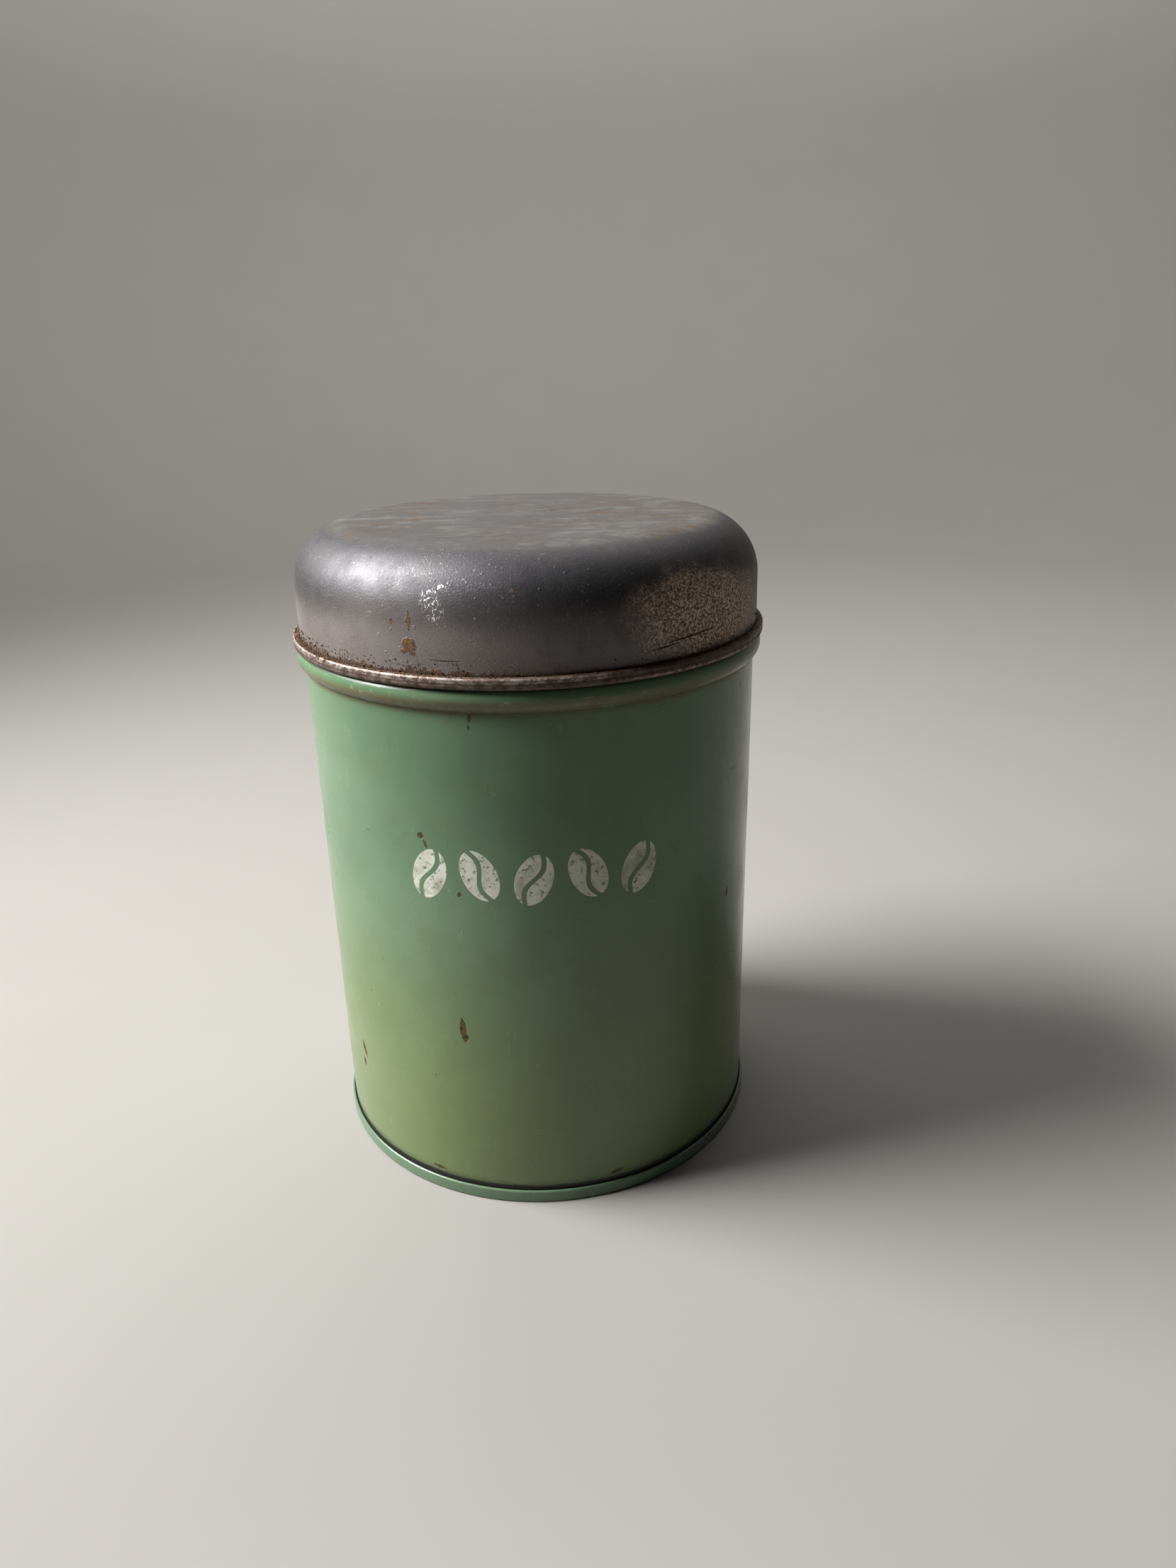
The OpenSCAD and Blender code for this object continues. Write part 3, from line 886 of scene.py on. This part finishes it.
def base_inside(radius, height, normal):
    return normal[1] > 0.3 and radius < WALL_R - 0.4 * MM


# The rim's dented places: angle from the front in degrees, width in degrees, depth in mm
RIM_DENTS = [
    (-52.0, 1.3, 0.5),
    (-48.6, 0.5, 0.35),
    (3.4, 1.1, 0.14),
    (27.0, 0.8, 0.2),
    (118.0, 1.6, 0.3),
    (-160.0, 1.2, 0.25),
]


def lid_shape(radius, height, angle):
    """Used lid: shallow dents in the top and shoulder, a slightly wavy skirt and a nicked roll."""
    x, y = radius * math.cos(angle), radius * math.sin(angle)
    on_top = fade(height, LID_TOP - 4 * MM, LID_TOP - 0.4 * MM)
    dish = 0.28 * MM * (1 - fade(radius, 8 * MM, 40 * MM)) * on_top
    dents = 0.35 * MM * max(0, ripple(x, y, 0, 17 * MM, 6.2))
    dents *= on_top * (1 - fade(radius, 36 * MM, 43 * MM))
    shoulder = fade(height, ROLL_TOP + 4 * MM, LID_TOP - 14 * MM) * (1 - on_top)
    inward = 0.16 * MM * shoulder * (0.5 + 0.5 * ripple(x, y, height, 15 * MM, 7.4))
    inward += 0.05 * MM * (0.5 + 0.5 * ripple(x, y, height, 24 * MM, 8.8))
    front = math.degrees(angle - FRONT)
    upper = fade(height, WIRE_Z + 0.75 * MM, WIRE_Z + 1.05 * MM)
    upper *= 1 - fade(height, ROLL_TOP, ROLL_TOP + 0.2 * MM)
    outer = fade(radius, SKIRT_R + 0.45 * MM, SKIRT_R + 0.9 * MM)
    for middle, wide, depth in RIM_DENTS:
        away = abs((front - middle + 180) % 360 - 180)
        inward += depth * MM * (1 - fade(away, 0.3 * wide, wide)) * upper * outer
    nibbled = max(0, ripple(x, y, 0, 3.2 * MM, 9.7) - 0.15) * 0.22 * MM * upper * outer
    return max(0, radius - inward - nibbled), height - dish - dents


def lid_inside(radius, height, normal):
    below = normal[1] < -0.05 and height > ROLL_TOP and radius < SKIRT_R
    return below or (normal[0] < -0.3 and radius < SKIRT_R - 0.1 * MM)


def crumb_share(front):
    """How thickly the rust lies on the roll, by the angle in degrees from the front."""
    left = fade(front, -78, -66) * (1 - 0.55 * fade(front, -52, -36)) * (1 - fade(front, -14, 14))
    right = 0.35 * fade(front, 24, 34) * (1 - fade(front, 56, 70))
    angle = math.radians(front)
    uneven = 0.08 + 0.3 * fade(math.sin(3 * angle) + math.sin(7.3 * angle), 0.6, 1.4)
    return max(left, right, uneven)


def rim_rust(count):
    """Crumbs of rust that lie on the roll and cling to the foot of the skirt."""
    pattern = bmesh.new()
    bmesh.ops.create_icosphere(pattern, subdivisions=1, radius=1)
    corners = [v.co.copy() for v in pattern.verts]
    sides = [[v.index for v in face.verts] for face in pattern.faces]
    pattern.free()
    dice = random.Random(11)
    points, faces = [], []
    while len(points) < count * len(corners):
        front = dice.uniform(-180, 180)
        if dice.random() > crumb_share(front):
            continue
        size = dice.uniform(0.1, 0.3) * MM * (1 if dice.random() < 0.85 else 1.4)
        if dice.random() < 0.6:
            radius, height = SKIRT_R + dice.uniform(0.1, 1.25) * MM, ROLL_TOP
        else:
            radius, height = SKIRT_R - 0.02 * MM, ROLL_TOP + 3.0 * MM * dice.random() ** 2
        angle = FRONT + math.radians(front)
        place = Vector((radius * math.cos(angle), radius * math.sin(angle), height))
        turn = Euler([dice.uniform(0, 6) for _ in range(3)]).to_matrix()
        flat = Vector((size, size * dice.uniform(0.5, 0.9), size * dice.uniform(0.4, 0.7)))
        faces += [[len(points) + i for i in side] for side in sides]
        points += [place + turn @ (flat * corner) * dice.uniform(0.75, 1.15) for corner in corners]
    data = bpy.data.meshes.new("rim_rust")
    data.from_pydata(points, [], faces)
    crumbs = bpy.data.objects.new("rim_rust", data)
    bpy.context.scene.collection.objects.link(crumbs)
    data.materials.append(rust_crumbs())
    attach(crumbs, "lid")


def lid_columns(count):
    """Even meridians, with more of them round each dent in the rim."""
    steps = (-1, -0.6, -0.3, 0, 0.3, 0.6, 1)
    near = [FRONT + math.radians(middle + step * wide) for middle, wide, _ in RIM_DENTS for step in steps]
    return merged(count, [a % (2 * math.pi) for a in near], 0.2)


def plain_shape(radius, height, angle):
    return radius, height


def nowhere(radius, height, normal):
    return False


tin_inside = stained_tinplate("tinplate_inside", 0.8)
lid_lining = stained_tinplate("tinplate_lid_inside", 0.2)
wire_metal = dull_metal("rusted_wire", srgb(128, 108, 92), srgb(82, 52, 36), 0.5, 0.6, 0.05)
compound_grey = dull_metal("seam_compound", srgb(52, 50, 46), srgb(34, 33, 31), 0.7, 0.0, 0.04)

turned(
    "tin_wall",
    node="body_shell",
    body="tin",
    spacing=3.0 * MM,
    columns=wall_columns(360),
    shape=wall_shape,
    inside=wall_inside,
    materials=[green_lacquer(), tin_inside],
)
turned(
    "tin_base",
    node="base_end",
    body="tin",
    spacing=1.8 * MM,
    columns=even_columns(360),
    shape=base_shape,
    inside=base_inside,
    materials=[base_lacquer(), tin_inside],
)
turned(
    "lid",
    node="lid_shell",
    body="lid",
    spacing=1.4 * MM,
    columns=lid_columns(440),
    shape=lid_shape,
    inside=lid_inside,
    materials=[oxidised_lid(), lid_lining],
)
turned(
    "rim_wire_hoop",
    node="lid_rim_wire",
    body="rim_wire",
    spacing=0.3 * MM,
    columns=even_columns(240),
    shape=plain_shape,
    inside=nowhere,
    materials=[wire_metal],
)


def dress(node, material):
    """Gives a CAD node that keeps its own mesh a finished material."""
    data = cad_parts[node].data
    data.materials.clear()
    data.materials.append(material)


rim_rust(2200)
dress("side_seam_solder", solder_under_lacquer())
dress("base_seam_compound", compound_grey)


# ---------------------------------------------------------------- studio


def studio():
    """A round pale floor that curves up into a pale wall on every side."""
    reach, bend, top, sides = 0.95, 0.5, 2.3, 72
    section = [(0.3, 0.0), (reach, 0.0)]
    for i in range(1, 13):
        a = math.pi / 2 * i / 12
        section.append((reach + bend * math.sin(a), bend * (1 - math.cos(a))))
    section.append((reach + bend, top))
    mesh = bmesh.new()
    turns = [(math.cos(2 * math.pi * k / sides), math.sin(2 * math.pi * k / sides)) for k in range(sides)]
    rings = [[mesh.verts.new((r * c, r * s, z)) for c, s in turns] for r, z in section]
    mesh.faces.new(rings[0])
    for low, high in zip(rings, rings[1:]):
        for k in range(sides):
            mesh.faces.new((low[k], low[k - 1], high[k - 1], high[k])).smooth = True
    bmesh.ops.recalc_face_normals(mesh, faces=mesh.faces)
    data = bpy.data.meshes.new("sweep")
    mesh.to_mesh(data)
    mesh.free()
    sweep = bpy.data.objects.new("sweep", data)
    bpy.context.scene.collection.objects.link(sweep)
    g = Graph("pale_paper")
    tone = g.noise(60, 3.0, 0.5, seed=5.0)
    g.set(base_color=g.mix(srgb(130, 128, 124), srgb(127, 125, 121), tone), roughness=0.8)
    data.materials.append(g.material)


def soft_light(name, place, target, wide, tall, watts, colour, spread=180):
    """A rectangular light, sizes in metres, that shines within the spread in degrees."""
    light = bpy.data.lights.new(name, "AREA")
    light.shape = "RECTANGLE"
    light.size, light.size_y = wide, tall
    light.energy = watts
    light.color = colour
    light.spread = math.radians(spread)
    lamp = bpy.data.objects.new(name, light)
    bpy.context.scene.collection.objects.link(lamp)
    lamp.location = place
    lamp.rotation_euler = (Vector(target) - Vector(place)).to_track_quat("-Z", "Y").to_euler()


def lights():
    """A soft window at the left, a weak fill from the right, a light on the wall behind, and a dim room."""
    middle = (0, 0, LID_TOP / 2)
    window, sky, warm = (1.0, 0.99, 0.98), (0.96, 0.98, 1.0), (1.0, 0.99, 0.97)
    soft_light("window", (-0.86, 0, 0.84), middle, wide=0.6, tall=0.62, watts=9.4, colour=window, spread=70)
    soft_light("fill", (1.0, -0.65, 0.7), middle, wide=0.9, tall=0.9, watts=0.1, colour=sky)
    soft_light("backdrop", (0, 0.62, 1.3), (0, 1.4, 0.45), wide=1.4, tall=0.5, watts=24.0, colour=warm)
    world = bpy.data.worlds.new("room")
    world.use_nodes = True
    back = world.node_tree.nodes["Background"]
    back.inputs["Color"].default_value = (0.93, 0.96, 1.0, 1.0)
    back.inputs["Strength"].default_value = 0.03
    bpy.context.scene.world = world
    bpy.context.scene.view_settings.view_transform = "Standard"


def camera():
    """The photograph's viewpoint: close, a little to the right, looking down."""
    right, back, up = 0.245, 4.840, 3.492  # in wall radii
    lens = bpy.data.cameras.new("camera")
    lens.sensor_width = 36.0
    lens.lens = 24.95
    lens.clip_start, lens.clip_end = 0.01, 20.0
    view = bpy.data.objects.new("camera", lens)
    bpy.context.scene.collection.objects.link(view)
    pitch, roll = 21.39, -1.35
    view.matrix_world = (
        Matrix.Translation((right * WALL_R, -back * WALL_R, up * WALL_R))
        @ Euler((math.radians(90 - pitch), 0, 0)).to_matrix().to_4x4()
        @ Matrix.Rotation(math.radians(roll), 4, "Z")
    )
    bpy.context.scene.camera = view


studio()
lights()
camera()
